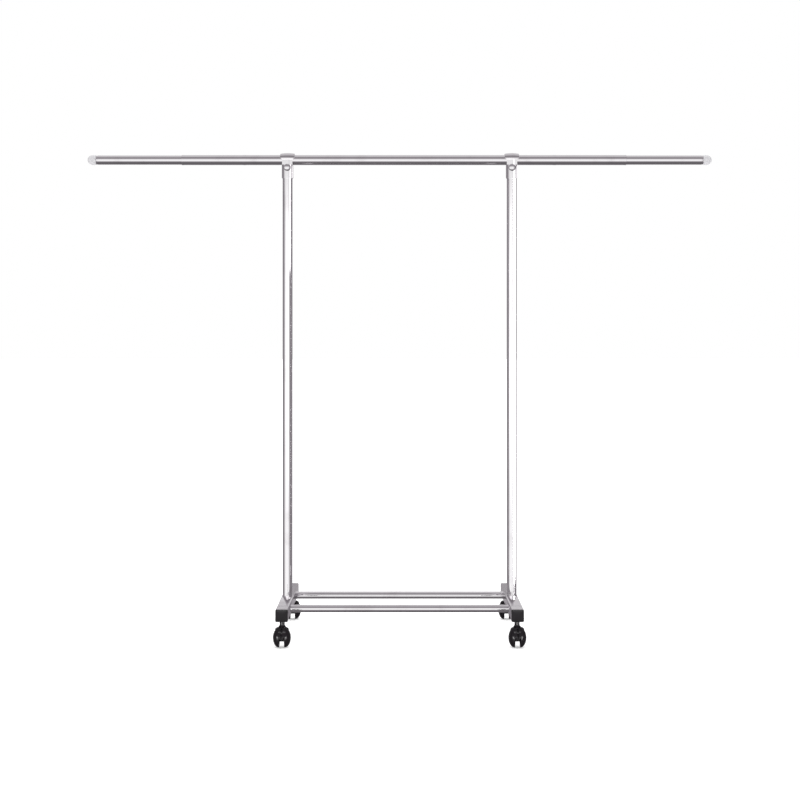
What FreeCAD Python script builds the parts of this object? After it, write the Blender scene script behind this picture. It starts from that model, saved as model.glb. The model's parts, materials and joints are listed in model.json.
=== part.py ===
import FreeCAD, Part
import math
import os

import Sketcher

# Rolling clothes rack, in millimetres. X runs along the hanging rod, Y from front (-Y) to back
# and Z up. The origin is on the floor, midway between the posts and midway along the feet.

drivingSizes = {
    # frame
    "postSpacing": 566,
    "tubeRadius": 12.5,
    "postWall": 1.0,
    "footSide": 30,
    "footTop": 93,
    "footLength": 424,
    "footWall": 1.2,
    "footCorner": 3,
    "capFlange": 3,
    "capDepth": 14,
    "capWall": 2,
    "capRound": 0.8,
    "railRadius": 9.5,
    "railWall": 1.0,
    "railSpacing": 210,
    # hanging rod
    "rodHeight": 1193,
    "rodWall": 0.8,
    "rodLength": 1122,
    "rodShift": 11,
    "beadReach": 391,
    "beadRise": 0.3,
    "beadHalfLength": 7,
    "lipLength": 4,
    "lipRise": 0.2,
    "extensionRadius": 11.6,
    "extensionWall": 0.8,
    "extensionStart": 394,
    "extensionEnd": 766,
    "glideLength": 12,
    "spigotLength": 16,
    "plugRadius": 12.2,
    "plugCollar": 11,
    "plugDome": 10,
    "plugNeck": 1,
    # saddles that hold the rod on the posts
    "crownHalfWidth": 18.2,
    "crownLift": 2.75,
    "crownFall": 1.65,
    "crownRound": 2,
    "crownProud": 0.25,
    "plateInner": 11,
    "plateWall": 2.5,
    "waistHalfWidth": 13,
    "legHalfWidth": 14.6,
    "saddleWall": 2.05,
    "saddleDrop": 47,
    "saddleSlit": 3,
    "boltDrop": 20,
    "boltRadius": 2.95,
    "boltHole": 3.2,
    "boltHeadRadius": 9,
    "boltHeadRise": 5.5,
    "capNutRadius": 5.8,
    "capNutDomeRadius": 4.9,
    "capNutHeight": 5,
    # hidden fasteners
    "insertLength": 20,
    "postBolt": 3.95,
    "postBoltHead": 7.5,
    "postBoltHeadRise": 5.3,
    "railBoltHead": 5.5,
    "railBoltHeadRise": 3.3,
    # casters
    "stemSpacing": 374,
    "casterTrail": 12,
    "wheelRadius": 23.6,
    "wheelGap": 6.4,
    "wheelTread": 0.7,
    "wheelBulge": 14.4,
    "wheelPocketInner": 8.5,
    "wheelPocketOuter": 18,
    "wheelPocketDepth": 5.5,
    "axleRadius": 3,
    "axleHalfLength": 16.5,
    "hoodClearance": 0.7,
    "hoodSkin": 1.3,
    "hoodHalfWidth": 16,
    "hoodFoot": 3,
    "hoodSlot": 4.4,
    "hubRadius": 9.6,
    "hubHalfWidth": 6,
    "webHalfWidth": 4.2,
    "neckRadius": 6,
    "neckTop": 61.5,
    "neckFoot": 33,
    "neckFlare": 3,
    "neckFlareHeight": 4,
    "stemRadius": 3.5,
    "stemFoot": 36,
    "stemThread": 3.95,
    "stemTop": 76,
    "clipGroove": 2.4,
    "clipGrooveWidth": 1.4,
    "clipMouth": 3,
    "casterNutRadius": 7.5,
    "casterNutHeight": 6.5,
    "runningFit": 0.05,
}

doc = FreeCAD.newDocument("RollingClothesRack")
sizes = doc.addObject("Spreadsheet::Sheet", "Sizes")
for rowNumber, (alias, amount) in enumerate(drivingSizes.items(), start=1):
    sizes.set(f"A{rowNumber}", alias)
    sizes.set(f"B{rowNumber}", str(amount))
    sizes.setAlias(f"B{rowNumber}", alias)
doc.recompute()

alongX = FreeCAD.Rotation(FreeCAD.Vector(0, 1, 0), 90)
againstX = FreeCAD.Rotation(FreeCAD.Vector(0, 1, 0), -90)
alongY = FreeCAD.Rotation(FreeCAD.Vector(1, 0, 0), -90)
againstY = FreeCAD.Rotation(FreeCAD.Vector(1, 0, 0), 90)
upright = FreeCAD.Rotation()
halfTurn = FreeCAD.Rotation(FreeCAD.Vector(0, 0, 1), 180)
upsideDown = FreeCAD.Rotation(FreeCAD.Vector(1, 0, 0), 180)

nodes = []


def sheet(formula):
    """Write the sheet's name in front of each driving size in a formula."""
    words = formula.replace("(", " ( ").replace(")", " ) ").split()
    return " ".join(f"Sizes.{word}" if word in drivingSizes else word for word in words)


def amountOf(formula):
    return float(sizes.evalExpression(sheet(formula)))


def place(piece, at, turn=upright):
    """Turn a piece, then bind its position to the driving sizes."""
    piece.Placement = FreeCAD.Placement(FreeCAD.Vector(), turn)
    for axis, formula in zip("xyz", at):
        piece.setExpression(f"Placement.Base.{axis}", sheet(formula))


def primitive(kind, name, lengths, at=("0", "0", "0"), turn=upright):
    piece = doc.addObject(f"Part::{kind}", name)
    for length, formula in lengths.items():
        piece.setExpression(length, sheet(formula))
    place(piece, at, turn)
    return piece


def cylinder(name, radius, length, at=("0", "0", "0"), turn=upright):
    return primitive("Cylinder", name, {"Radius": radius, "Height": length}, at, turn)


def block(name, lowCorner, lengths):
    extent = dict(zip(("Length", "Width", "Height"), lengths))
    return primitive("Box", name, extent, lowCorner)


def dome(name, rise, radius, at, turn):
    """Half an ellipsoid: its flat face is at the given place and its pole points along the turned Z."""
    lengths = {"Radius1": rise, "Radius2": radius, "Radius3": radius, "Angle1": "0"}
    return primitive("Ellipsoid", name, lengths, at, turn)


def fused(name, pieces):
    union = doc.addObject("Part::MultiFuse", name)
    union.Shapes = pieces
    return union


def cut(name, base, tools):
    """Take the tools away one after another; the last cut keeps the plain name."""
    rest = base
    for i, tool in enumerate(tools, start=1):
        stage = doc.addObject("Part::Cut", name if i == len(tools) else f"{name}Cut{i}")
        stage.Base = rest
        stage.Tool = tool
        rest = stage
    return rest


def common(name, first, second):
    overlap = doc.addObject("Part::Common", name)
    overlap.Base = first
    overlap.Tool = second
    return overlap


def group(label, pieces):
    """Several identical fasteners kept as one node of separate solids."""
    together = doc.addObject("Part::Compound", label)
    together.Links = pieces
    return node(together, label)


def node(piece, label):
    piece.Label = label
    nodes.append(piece)
    return piece


def bodyNamed(name):
    body = doc.addObject("PartDesign::Body", name)
    doc.recompute()
    return body


def sketchOn(body, name, role):
    plane = next(part for part in body.Origin.OriginFeatures if part.Role == role)
    sketch = body.newObject("Sketcher::SketchObject", name)
    sketch.AttachmentSupport = [(plane, "")]
    sketch.MapMode = "FlatFace"
    return sketch


def pin(sketch, edge, end, across, up):
    """Hold one end of a sketch edge at a distance from the sketch's origin."""
    for direction, formula in (("DistanceX", across), ("DistanceY", up)):
        constraint = Sketcher.Constraint(direction, -1, 1, edge, end, amountOf(formula))
        number = sketch.addConstraint(constraint)
        sketch.setExpression(f"Constraints[{number}]", sheet(formula))


def polygon(sketch, corners):
    points = [FreeCAD.Vector(amountOf(across), amountOf(up), 0) for across, up in corners]
    first = sketch.GeometryCount
    count = len(corners)
    for i in range(count):
        sketch.addGeometry(Part.LineSegment(points[i], points[(i + 1) % count]), False)
    for i in range(count):
        following = first + (i + 1) % count
        sketch.addConstraint(Sketcher.Constraint("Coincident", first + i, 2, following, 1))
    for i, (across, up) in enumerate(corners):
        pin(sketch, first + i, 1, across, up)


def circle(sketch, across, up, radius):
    centre = FreeCAD.Vector(amountOf(across), amountOf(up), 0)
    edge = sketch.addGeometry(Part.Circle(centre, FreeCAD.Vector(0, 0, 1), amountOf(radius)), False)
    pin(sketch, edge, 3, across, up)
    number = sketch.addConstraint(Sketcher.Constraint("Radius", edge, amountOf(radius)))
    sketch.setExpression(f"Constraints[{number}]", sheet(radius))


def padded(body, sketch, length, reversedWay=False, midplane=False):
    pad = body.newObject("PartDesign::Pad", f"{sketch.Name}Pad")
    pad.Profile = sketch
    pad.Reversed = reversedWay
    pad.Midplane = midplane
    pad.setExpression("Length", sheet(length))
    doc.recompute()
    return pad


def pocketed(body, sketch, length, reversedWay=False):
    before = body.Shape.Volume
    pocket = body.newObject("PartDesign::Pocket", f"{sketch.Name}Pocket")
    pocket.Profile = sketch
    pocket.Reversed = reversedWay
    pocket.setExpression("Length", sheet(length))
    doc.recompute()
    if body.Shape.Volume >= before:
        raise ValueError(f"{pocket.Name} cuts nothing")
    return pocket


def rounded(body, feature, radius, wanted):
    """Round every edge of a feature for which wanted(edge) is true."""
    names = [f"Edge{i}" for i, edge in enumerate(feature.Shape.Edges, start=1) if wanted(edge)]
    fillet = body.newObject("PartDesign::Fillet", f"{feature.Name}Round")
    fillet.Base = (feature, names)
    fillet.setExpression("Radius", sheet(radius))
    doc.recompute()
    return fillet


def runsAlong(edge, axis):
    box = edge.BoundBox
    lengths = {"x": box.XLength, "y": box.YLength, "z": box.ZLength}
    return lengths.pop(axis) > 1 and max(lengths.values()) < 0.01


def turned(name, corners, role="XZ_Plane", axis="V_Axis"):
    """A lathe piece: its half outline turned once round a sketch axis."""
    body = bodyNamed(name)
    sketch = sketchOn(body, f"{name}Outline", role)
    polygon(sketch, corners)
    doc.recompute()
    spin = body.newObject("PartDesign::Revolution", f"{name}Spin")
    spin.Profile = sketch
    spin.ReferenceAxis = (sketch, [axis])
    spin.Angle = 360
    doc.recompute()
    return body


def square(half, reach="0"):
    """Corners of a square about a sketch's origin."""
    side = f"{half} + {reach}"
    minus = f"0 - ({side})"
    return [(minus, minus), (side, minus), (side, side), (minus, side)]


def postX(side):
    return f"{side} * postSpacing / 2"


sides = {"left": -1, "right": 1}
rows = {"front": -1, "back": 1}


def makeFoot(sideName, side):
    """Box-section foot. The rails enter its inner wall, the post its top wall."""
    name = f"foot_{sideName}"
    body = bodyNamed(name)
    section = sketchOn(body, f"{name}Section", "XZ_Plane")
    polygon(section, square("footSide / 2"))
    bar = padded(body, section, "footLength", midplane=True)
    rounded(body, bar, "footCorner", lambda edge: runsAlong(edge, "y"))
    bore = sketchOn(body, f"{name}Bore", "XZ_Plane")
    polygon(bore, square("footSide / 2", "0 - footWall"))
    hollow = body.newObject("PartDesign::Pocket", f"{name}Hollow")
    hollow.Profile = bore
    hollow.Midplane = True
    hollow.setExpression("Length", sheet("footLength + 2"))
    doc.recompute()

    postHole = sketchOn(body, f"{name}PostHole", "XY_Plane")
    circle(postHole, "0", "0", "tubeRadius + runningFit")
    pocketed(body, postHole, "footSide", reversedWay=True)

    railHoles = sketchOn(body, f"{name}RailHoles", "YZ_Plane")
    railBoltHoles = sketchOn(body, f"{name}RailBoltHoles", "YZ_Plane")
    for row in rows.values():
        circle(railHoles, f"{row} * railSpacing / 2", "0", "railRadius + runningFit")
        circle(railBoltHoles, f"{row} * railSpacing / 2", "0", "boltHole")
    pocketed(body, railHoles, "footSide", reversedWay=True)
    pocketed(body, railBoltHoles, "footSide")

    bottomHoles = sketchOn(body, f"{name}BottomHoles", "XY_Plane")
    for row in (-1, 0, 1):
        circle(bottomHoles, "0", f"{row} * stemSpacing / 2", "postBolt + 0.2")
    pocketed(body, bottomHoles, "footSide")
    place(body, (postX(side), "0", "footTop - footSide / 2"), upright if side < 0 else halfTurn)
    node(body, name)


def makeFootCap(rowName, row, sideName, side):
    """End cap: a flange the size of the foot's section and a hollow plug pushed into the foot."""
    name = f"foot_cap_{rowName}_{sideName}"
    body = bodyNamed(name)
    flangeOutline = sketchOn(body, f"{name}Flange", "XZ_Plane")
    polygon(flangeOutline, square("footSide / 2"))
    flange = padded(body, flangeOutline, "capFlange")
    corners = rounded(body, flange, "footCorner", lambda edge: runsAlong(edge, "y"))
    outerFace = -amountOf("capFlange")
    rounded(body, corners, "capRound", lambda edge: edge.BoundBox.YMax < outerFace + 0.01)
    plugOutline = sketchOn(body, f"{name}Plug", "XZ_Plane")
    polygon(plugOutline, square("footSide / 2", "0 - footWall - 0.1"))
    padded(body, plugOutline, "capDepth", reversedWay=True)
    plugHollow = sketchOn(body, f"{name}Hollow", "XZ_Plane")
    polygon(plugHollow, square("footSide / 2", "0 - footWall - capWall"))
    pocketed(body, plugHollow, "capDepth")
    turn = upright if row < 0 else halfTurn
    place(body, (postX(side), f"{row} * footLength / 2", "footTop - footSide / 2"), turn)
    node(body, name)


def makePost(sideName, side):
    """Upright tube. Its top is cut to the rod's curve, and it stands on the foot's bottom wall."""
    name = f"post_{sideName}"
    footFloor = "footTop - footSide + footWall"
    length = f"rodHeight - 5 - ({footFloor})"
    centre = (postX(side), "0", footFloor)
    tube = cylinder(f"{name}Tube", "tubeRadius", length, centre)
    bore = cylinder(f"{name}Bore", "tubeRadius - postWall", length, centre)
    rodStart = (f"{postX(side)} - 2 * tubeRadius", "0", "rodHeight")
    rodSeat = cylinder(f"{name}Seat", "tubeRadius + runningFit", "4 * tubeRadius", rodStart, alongX)
    boltStart = (postX(side), "0 - 2 * tubeRadius", "rodHeight - boltDrop")
    boltHole = cylinder(f"{name}BoltHole", "boltHole", "4 * tubeRadius", boltStart, alongY)
    node(cut(name, tube, [bore, rodSeat, boltHole]), name)


def makePostFixings():
    inserts = []
    bolts = []
    for sideName, side in sides.items():
        insert = turned(
            f"postInsert{sideName}",
            [
                ("postBolt + runningFit", "0"),
                ("tubeRadius - postWall - runningFit", "0"),
                ("tubeRadius - postWall - runningFit", "insertLength"),
                ("postBolt + runningFit", "insertLength"),
            ],
        )
        place(insert, (postX(side), "0", "footTop - footSide + footWall"))
        inserts.append(insert)
        headCentre = (postX(side), "0", "footTop - footSide - postBoltHeadRise")
        headSizes = {"Circumradius": "postBoltHead", "Height": "postBoltHeadRise"}
        head = primitive("Prism", f"postBoltHead{sideName}", headSizes, headCentre)
        shankStart = (postX(side), "0", "footTop - footSide")
        shank = cylinder(f"postBoltShank{sideName}", "postBolt", "insertLength - 2", shankStart)
        bolts.append(fused(f"postBolt{sideName}", [head, shank]))
    group("post_inserts", inserts)
    group("post_bolts", bolts)


def makeRail(rowName, row):
    """Round rail that passes through each foot's inner wall and stops on its outer wall."""
    name = f"rail_{rowName}"
    reach = "postSpacing / 2 + footSide / 2 - footWall"
    start = (f"0 - ({reach})", f"{row} * railSpacing / 2", "footTop - footSide / 2")
    outside = cylinder(f"{name}Outside", "railRadius", f"2 * ({reach})", start, alongX)
    inside = cylinder(f"{name}Inside", "railRadius - railWall", f"2 * ({reach})", start, alongX)
    node(cut(name, outside, [inside]), name)


def makeRailFixings():
    inserts = []
    bolts = []
    footOuter = "postSpacing / 2 + footSide / 2"
    for rowName, row in rows.items():
        for sideName, side in sides.items():
            tag = f"{rowName}{sideName}"
            inward = alongX if side < 0 else againstX
            height = "footTop - footSide / 2"
            depth = f"{row} * railSpacing / 2"
            insert = turned(
                f"railInsert{tag}",
                [
                    ("boltRadius + runningFit", "0"),
                    ("railRadius - railWall - runningFit", "0"),
                    ("railRadius - railWall - runningFit", "insertLength"),
                    ("boltRadius + runningFit", "insertLength"),
                ],
            )
            place(insert, (f"{side} * ({footOuter} - footWall)", depth, height), inward)
            inserts.append(insert)
            outerFace = (f"{side} * ({footOuter})", depth, height)
            outward = againstX if side < 0 else alongX
            head = dome(f"railBoltHead{tag}", "railBoltHeadRise", "railBoltHead", outerFace, outward)
            shank = cylinder(f"railBoltShank{tag}", "boltRadius", "insertLength - 2", outerFace, inward)
            bolts.append(fused(f"railBolt{tag}", [head, shank]))
    group("rail_inserts", inserts)
    group("rail_bolts", bolts)


def saddleCrown(name):
    """The saddle's top: a barrel along the rod, fullest midway, with rounded ends."""
    body = bodyNamed(f"{name}Crown")
    sketch = sketchOn(body, f"{name}CrownOutline", "XZ_Plane")
    endRadius = "tubeRadius + saddleWall + crownProud - crownFall"
    arcCentre = f"crownFall / 2 + {endRadius} - crownHalfWidth * crownHalfWidth / (2 * crownFall)"
    half = amountOf("crownHalfWidth")
    footLeft = FreeCAD.Vector(-half, 0, 0)
    footRight = FreeCAD.Vector(half, 0, 0)
    left = FreeCAD.Vector(-half, amountOf(endRadius), 0)
    right = FreeCAD.Vector(half, amountOf(endRadius), 0)
    centre = FreeCAD.Vector(0, amountOf(arcCentre), 0)
    circleOfCrown = Part.Circle(centre, FreeCAD.Vector(0, 0, 1), (right - centre).Length)
    spread = (right - centre).getAngle(FreeCAD.Vector(1, 0, 0))
    sketch.addGeometry(Part.LineSegment(footLeft, footRight), False)
    sketch.addGeometry(Part.LineSegment(footRight, right), False)
    sketch.addGeometry(Part.ArcOfCircle(circleOfCrown, spread, math.pi - spread), False)
    sketch.addGeometry(Part.LineSegment(left, footLeft), False)
    for edge, following in ((0, 1), (1, 2), (2, 3), (3, 0)):
        sketch.addConstraint(Sketcher.Constraint("Coincident", edge, 2, following, 1))
    pin(sketch, 0, 1, "0 - crownHalfWidth", "0")
    pin(sketch, 1, 1, "crownHalfWidth", "0")
    pin(sketch, 2, 1, "crownHalfWidth", endRadius)
    pin(sketch, 3, 1, "0 - crownHalfWidth", endRadius)
    number = sketch.addConstraint(Sketcher.Constraint("DistanceY", -1, 1, 2, 3, amountOf(arcCentre)))
    sketch.setExpression(f"Constraints[{number}]", sheet(arcCentre))
    doc.recompute()
    spin = body.newObject("PartDesign::Revolution", f"{name}CrownSpin")
    spin.Profile = sketch
    spin.ReferenceAxis = (sketch, ["H_Axis"])
    spin.Angle = 360
    doc.recompute()
    rounded(body, spin, "crownRound", lambda edge: edge.BoundBox.XLength < 0.01)
    # turned over, so that the seam of the turned shape falls in the half that is cut away
    place(body, ("0", "0", "crownLift"), upsideDown)
    upperHalf = block(
        f"{name}CrownUpperHalf",
        ("0 - 2 * crownHalfWidth", "0 - 2 * tubeRadius", "crownLift / 5"),
        ("4 * crownHalfWidth", "4 * tubeRadius", "2 * tubeRadius"),
    )
    return common(f"{name}CrownCap", body, upperHalf)


def saddleFrontOutline(name):
    """The saddle seen from the front: leg, narrower waist beside the rod, then the wide crown."""
    body = bodyNamed(f"{name}Front")
    outline = sketchOn(body, f"{name}FrontOutline", "XZ_Plane")
    right = [
        ("legHalfWidth", "0 - saddleDrop"),
        ("legHalfWidth", "0 - tubeRadius - saddleWall"),
        ("waistHalfWidth", "0 - tubeRadius + saddleWall"),
        ("waistHalfWidth", "0"),
        ("2 * crownHalfWidth - waistHalfWidth", "4 * crownLift"),
        ("2 * crownHalfWidth - waistHalfWidth", "2 * tubeRadius"),
    ]
    left = [(f"0 - ({across})", up) for across, up in reversed(right)]
    polygon(outline, right + left)
    slab = padded(body, outline, "4 * tubeRadius", midplane=True)
    lowest = -amountOf("saddleDrop")
    bottom = rounded(
        body,
        slab,
        "saddleWall * 2",
        lambda edge: runsAlong(edge, "y") and edge.BoundBox.ZMax < lowest + 0.1,
    )
    rounded(
        body,
        bottom,
        "tubeRadius / 3",
        lambda edge: runsAlong(edge, "y") and abs(edge.BoundBox.ZMax) < 0.1,
    )
    return body


def makeSaddle(sideName, side):
    """Cast saddle over the rod. Its two legs hug the post, and one bolt closes them."""
    name = f"saddle_{sideName}"
    outer = "tubeRadius + saddleWall"
    inner = "tubeRadius + runningFit"
    collarFoot = ("0", "0", "0 - saddleDrop")
    collar = cylinder(f"{name}Collar", outer, "saddleDrop + crownLift / 2", collarFoot)
    plates = []
    for faceName, nearSide in (("Front", "0 - plateInner - plateWall"), ("Back", "plateInner")):
        plate = block(
            f"{name}{faceName}Plate",
            ("0 - crownHalfWidth", nearSide, "0 - tubeRadius"),
            ("2 * crownHalfWidth", "plateWall", "tubeRadius + crownLift"),
        )
        plates.append(plate)
    casting = fused(f"{name}Casting", [saddleCrown(name), collar] + plates)
    rodBore = cylinder(f"{name}RodBore", inner, "6 * tubeRadius", ("0 - 3 * tubeRadius", "0", "0"), alongX)
    postInner = "tubeRadius + 3 * runningFit"
    postBore = cylinder(f"{name}PostBore", postInner, "saddleDrop + 9", ("0", "0", "0 - saddleDrop - 10"))
    slit = block(
        f"{name}Slit",
        ("0 - 3 * tubeRadius", "0 - saddleSlit / 2", "0 - saddleDrop - 5"),
        ("6 * tubeRadius", "saddleSlit", "saddleDrop + 5"),
    )
    boltStart = ("0", "0 - 2 * tubeRadius", "0 - boltDrop")
    boltHole = cylinder(f"{name}BoltHole", "boltHole", "4 * tubeRadius", boltStart, alongY)
    hollowed = cut(f"{name}Hollowed", casting, [rodBore, postBore, slit, boltHole])
    saddle = common(name, hollowed, saddleFrontOutline(name))
    place(saddle, (postX(side), "0", "rodHeight"))
    node(saddle, name)


def makeSaddleFixings():
    bolts = []
    nuts = []
    legFace = "tubeRadius + saddleWall + 0.02"
    for sideName, side in sides.items():
        height = "rodHeight - boltDrop"
        front = (postX(side), f"0 - ({legFace})", height)
        back = (postX(side), legFace, height)
        head = dome(f"saddleBoltHead{sideName}", "boltHeadRise", "boltHeadRadius", front, againstY)
        shankLength = f"2 * ({legFace}) + capNutHeight"
        shank = cylinder(f"saddleBoltShank{sideName}", "boltRadius", shankLength, front, alongY)
        bolts.append(fused(f"saddleBolt{sideName}", [head, shank]))
        hexSizes = {"Circumradius": "capNutRadius", "Height": "capNutHeight"}
        hexagon = primitive("Prism", f"capNutHex{sideName}", hexSizes, back, alongY)
        capStart = (postX(side), f"{legFace} + capNutHeight", height)
        cap = dome(f"capNutDome{sideName}", "capNutHeight", "capNutDomeRadius", capStart, alongY)
        nutDepth = "capNutHeight + 1"
        nutBore = cylinder(f"capNutBore{sideName}", "boltRadius + runningFit", nutDepth, back, alongY)
        nutBody = fused(f"capNutBody{sideName}", [hexagon, cap])
        nuts.append(cut(f"capNut{sideName}", nutBody, [nutBore]))
    group("saddle_bolts", bolts)
    group("saddle_nuts", nuts)


def makeMainRod():
    """Outer tube of the hanging rod, with a shallow bead each side and a lip at each mouth."""
    leftEnd = "rodShift - rodLength / 2"
    rightEnd = "rodShift + rodLength / 2"
    bore = "tubeRadius - rodWall"
    beadTop = "tubeRadius + beadRise"
    lipTop = "tubeRadius + lipRise"
    corners = [(leftEnd, bore), (leftEnd, lipTop), (f"{leftEnd} + lipLength", lipTop)]
    corners.append((f"{leftEnd} + 2 * lipLength", "tubeRadius"))
    for side in sides.values():
        middle = f"{side} * beadReach"
        corners.append((f"{middle} - beadHalfLength", "tubeRadius"))
        corners.append((f"{middle} - beadHalfLength / 2", beadTop))
        corners.append((f"{middle} + beadHalfLength / 2", beadTop))
        corners.append((f"{middle} + beadHalfLength", "tubeRadius"))
    corners.append((f"{rightEnd} - 2 * lipLength", "tubeRadius"))
    corners += [(f"{rightEnd} - lipLength", lipTop), (rightEnd, lipTop), (rightEnd, bore)]
    rod = turned("rod_main", corners, axis="H_Axis")
    place(rod, ("0", "0", "rodHeight"))
    node(rod, "rod_main")


def makeExtension(sideName, side):
    """One extension: a thinner tube, a grip bush on its inner end and a plug in its outer end."""
    turn = upright if side > 0 else halfTurn
    onAxis = ("0", "0", "rodHeight")
    tubeBore = "extensionRadius - extensionWall"
    tube = turned(
        f"rod_extension_{sideName}",
        [
            ("extensionStart", tubeBore),
            ("extensionEnd", tubeBore),
            ("extensionEnd", "extensionRadius"),
            ("extensionStart", "extensionRadius"),
        ],
        axis="H_Axis",
    )
    place(tube, onAxis, turn)
    node(tube, f"rod_extension_{sideName}")

    bushRadius = "tubeRadius - rodWall - runningFit"
    spigotRadius = "extensionRadius - extensionWall - runningFit"
    glide = turned(
        f"rod_glide_{sideName}",
        [
            ("extensionStart - glideLength", "0"),
            ("extensionStart - glideLength", f"{bushRadius} - 0.6"),
            ("extensionStart - glideLength + 1", bushRadius),
            ("extensionStart", bushRadius),
            ("extensionStart", spigotRadius),
            ("extensionStart + spigotLength", spigotRadius),
            ("extensionStart + spigotLength", "0"),
        ],
        axis="H_Axis",
    )
    place(glide, onAxis, turn)
    node(glide, f"rod_glide_{sideName}")

    name = f"rod_plug_{sideName}"
    outward = alongX if side > 0 else againstX

    def along(formula):
        return (f"{side} * ({formula})", "0", "rodHeight")

    spigot = cylinder(
        f"{name}Spigot",
        spigotRadius,
        "spigotLength + plugNeck",
        along("extensionEnd - spigotLength"),
        outward,
    )
    collar = cylinder(f"{name}Collar", "plugRadius", "plugCollar", along("extensionEnd + plugNeck"), outward)
    tip = dome(
        f"{name}Tip", "plugDome", "plugRadius", along("extensionEnd + plugNeck + plugCollar"), outward
    )
    node(fused(name, [spigot, collar, tip]), name)


def casterPlace(piece, row, side):
    """Move a piece modelled about its stem axis on the floor to its own corner of the rack."""
    turn = upright if row < 0 else halfTurn
    place(piece, (postX(side), f"{row} * stemSpacing / 2", "0"), turn)


def makeStem(casterName, row, side):
    """Threaded stem with a flange under the foot and a groove for its clip near the lower end."""
    grooveRadius = "stemRadius - 0.6"
    footBottom = "footTop - footSide"
    stem = turned(
        f"caster_stem_{casterName}",
        [
            ("0", "stemFoot"),
            ("stemRadius - 0.5", "stemFoot"),
            ("stemRadius", "stemFoot + 0.5"),
            ("stemRadius", "stemFoot + clipGroove"),
            (grooveRadius, "stemFoot + clipGroove"),
            (grooveRadius, "stemFoot + clipGroove + clipGrooveWidth"),
            ("stemRadius", "stemFoot + clipGroove + clipGrooveWidth"),
            ("stemRadius", "neckTop + 0.3"),
            ("neckRadius", "neckTop + 0.3"),
            ("neckRadius", footBottom),
            ("stemThread", footBottom),
            ("stemThread", "stemTop - 0.5"),
            ("stemThread - 0.5", "stemTop"),
            ("0", "stemTop"),
        ],
    )
    casterPlace(stem, row, side)
    node(stem, f"caster_stem_{casterName}")


def clipSolid(casterName, row, side):
    """Open ring that snaps into the stem's groove and keeps the hood on."""
    foot = ("0", "0", "stemFoot + clipGroove + 0.1")
    thickness = "clipGrooveWidth - 0.2"
    ring = cylinder(f"clipRing{casterName}", "stemRadius + 1.1", thickness, foot)
    hole = cylinder(f"clipHole{casterName}", "stemRadius - 0.55", thickness, foot)
    mouthCorner = ("0 - clipMouth / 2", "0", "stemFoot")
    mouthLengths = ("clipMouth", "2 * stemRadius", "2 * (clipGroove + clipGrooveWidth)")
    mouth = block(f"clipMouth{casterName}", mouthCorner, mouthLengths)
    clip = cut(f"clip{casterName}", ring, [hole, mouth])
    casterPlace(clip, row, side)
    return clip


def nutSolid(casterName, row, side):
    """Nut welded on the inside of the foot's bottom wall."""
    seat = ("0", "0", "footTop - footSide + footWall")
    hexSizes = {"Circumradius": "casterNutRadius", "Height": "casterNutHeight"}
    hexagon = primitive("Prism", f"nutHex{casterName}", hexSizes, seat)
    bore = cylinder(f"nutBore{casterName}", "stemThread + runningFit", "casterNutHeight", seat)
    nut = cut(f"nut{casterName}", hexagon, [bore])
    casterPlace(nut, row, side)
    return nut


def wheelSetRound(name, halfWidth, bulge, radius):
    """A solid of the twin wheels' outline about the axle: a short drum with a dome on each side."""
    drumStart = (f"0 - ({halfWidth})", "0 - casterTrail", "wheelRadius")
    drum = cylinder(f"{name}Drum", radius, f"2 * ({halfWidth})", drumStart, alongX)
    domes = []
    for side, turn in ((-1, againstX), (1, alongX)):
        at = (f"{side} * ({halfWidth})", "0 - casterTrail", "wheelRadius")
        domes.append(dome(f"{name}Dome{side + 1}", bulge, radius, at, turn))
    return fused(name, [drum] + domes)


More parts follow.
